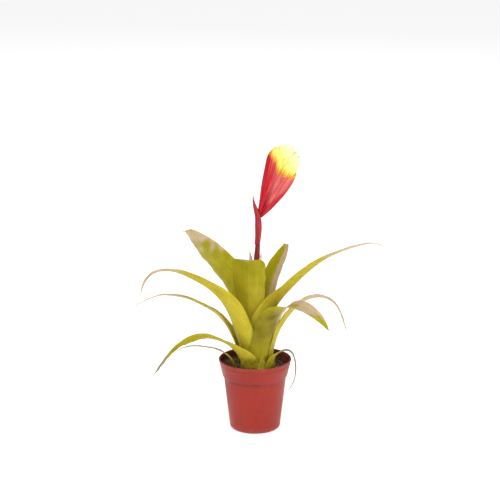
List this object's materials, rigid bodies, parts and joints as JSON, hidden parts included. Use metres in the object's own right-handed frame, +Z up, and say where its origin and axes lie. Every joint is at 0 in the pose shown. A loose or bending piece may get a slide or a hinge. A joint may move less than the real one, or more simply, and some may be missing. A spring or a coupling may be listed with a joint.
{
  "type": "potted plant",
  "caption": "Bromeliad in a round tapered nursery pot: strap leaves arch out of a rosette round one upright stalk with a flat red and yellow flower spike.",
  "frame": {"origin": "centre of the flat underside of the pot", "axes": "+Z up along the pot's axis, -Y the side that shows the flat face of the flower spike, +X to the right of that view, the side that the spike leans to"},
  "size_m": [0.3143, 0.2316, 0.3646],
  "materials": {
    "pot_plastic": "moulded terracotta-red plastic, satin, with faint ring lines",
    "potting_mix": "dark damp bark and peat crumbs with a few white grains",
    "stem": "dull pale green plant tissue",
    "leaf": "leathery olive to yellow-green leaf, satin, with fine lengthwise veins and pinkish-tan margins and ends",
    "dry_leaf": "withered leaf, matte grey-green",
    "pale_bract": "thin pale tan sheath",
    "scape_red": "waxy dark red stalk and bract",
    "flower_bract": "waxy bract, red at its foot through pinkish red to yellow at its end"
  },
  "bodies": {
    "root": {"pot": "pot_plastic", "potting_mix": "potting_mix", "stem_base": "stem", "inner_bract_left": "pale_bract", "inner_bract_right": "pale_bract", "leaf_front_upright": "leaf", "leaf_back_upright": "leaf", "leaf_right_upright": "leaf", "leaf_left_broad": "leaf", "leaf_right_long": "leaf", "leaf_back_middle": "leaf", "leaf_left_long": "leaf", "leaf_back_arching": "leaf", "leaf_front_right": "leaf", "leaf_left_middle": "leaf", "leaf_right_middle": "leaf", "leaf_back_low": "leaf", "leaf_back_drooping": "leaf", "leaf_left_twisted": "leaf", "leaf_stub": "leaf", "leaf_right_dry": "dry_leaf", "leaf_left_dry": "dry_leaf", "scape": "scape_red", "scape_bract": "scape_red", "spike_axis": "scape_red", "bract_right_1": "flower_bract", "bract_left_1": "flower_bract", "bract_right_2": "flower_bract", "bract_left_2": "flower_bract", "bract_right_3": "flower_bract", "bract_left_3": "flower_bract", "bract_right_4": "flower_bract", "bract_left_4": "flower_bract"}
  },
  "joints": []
}
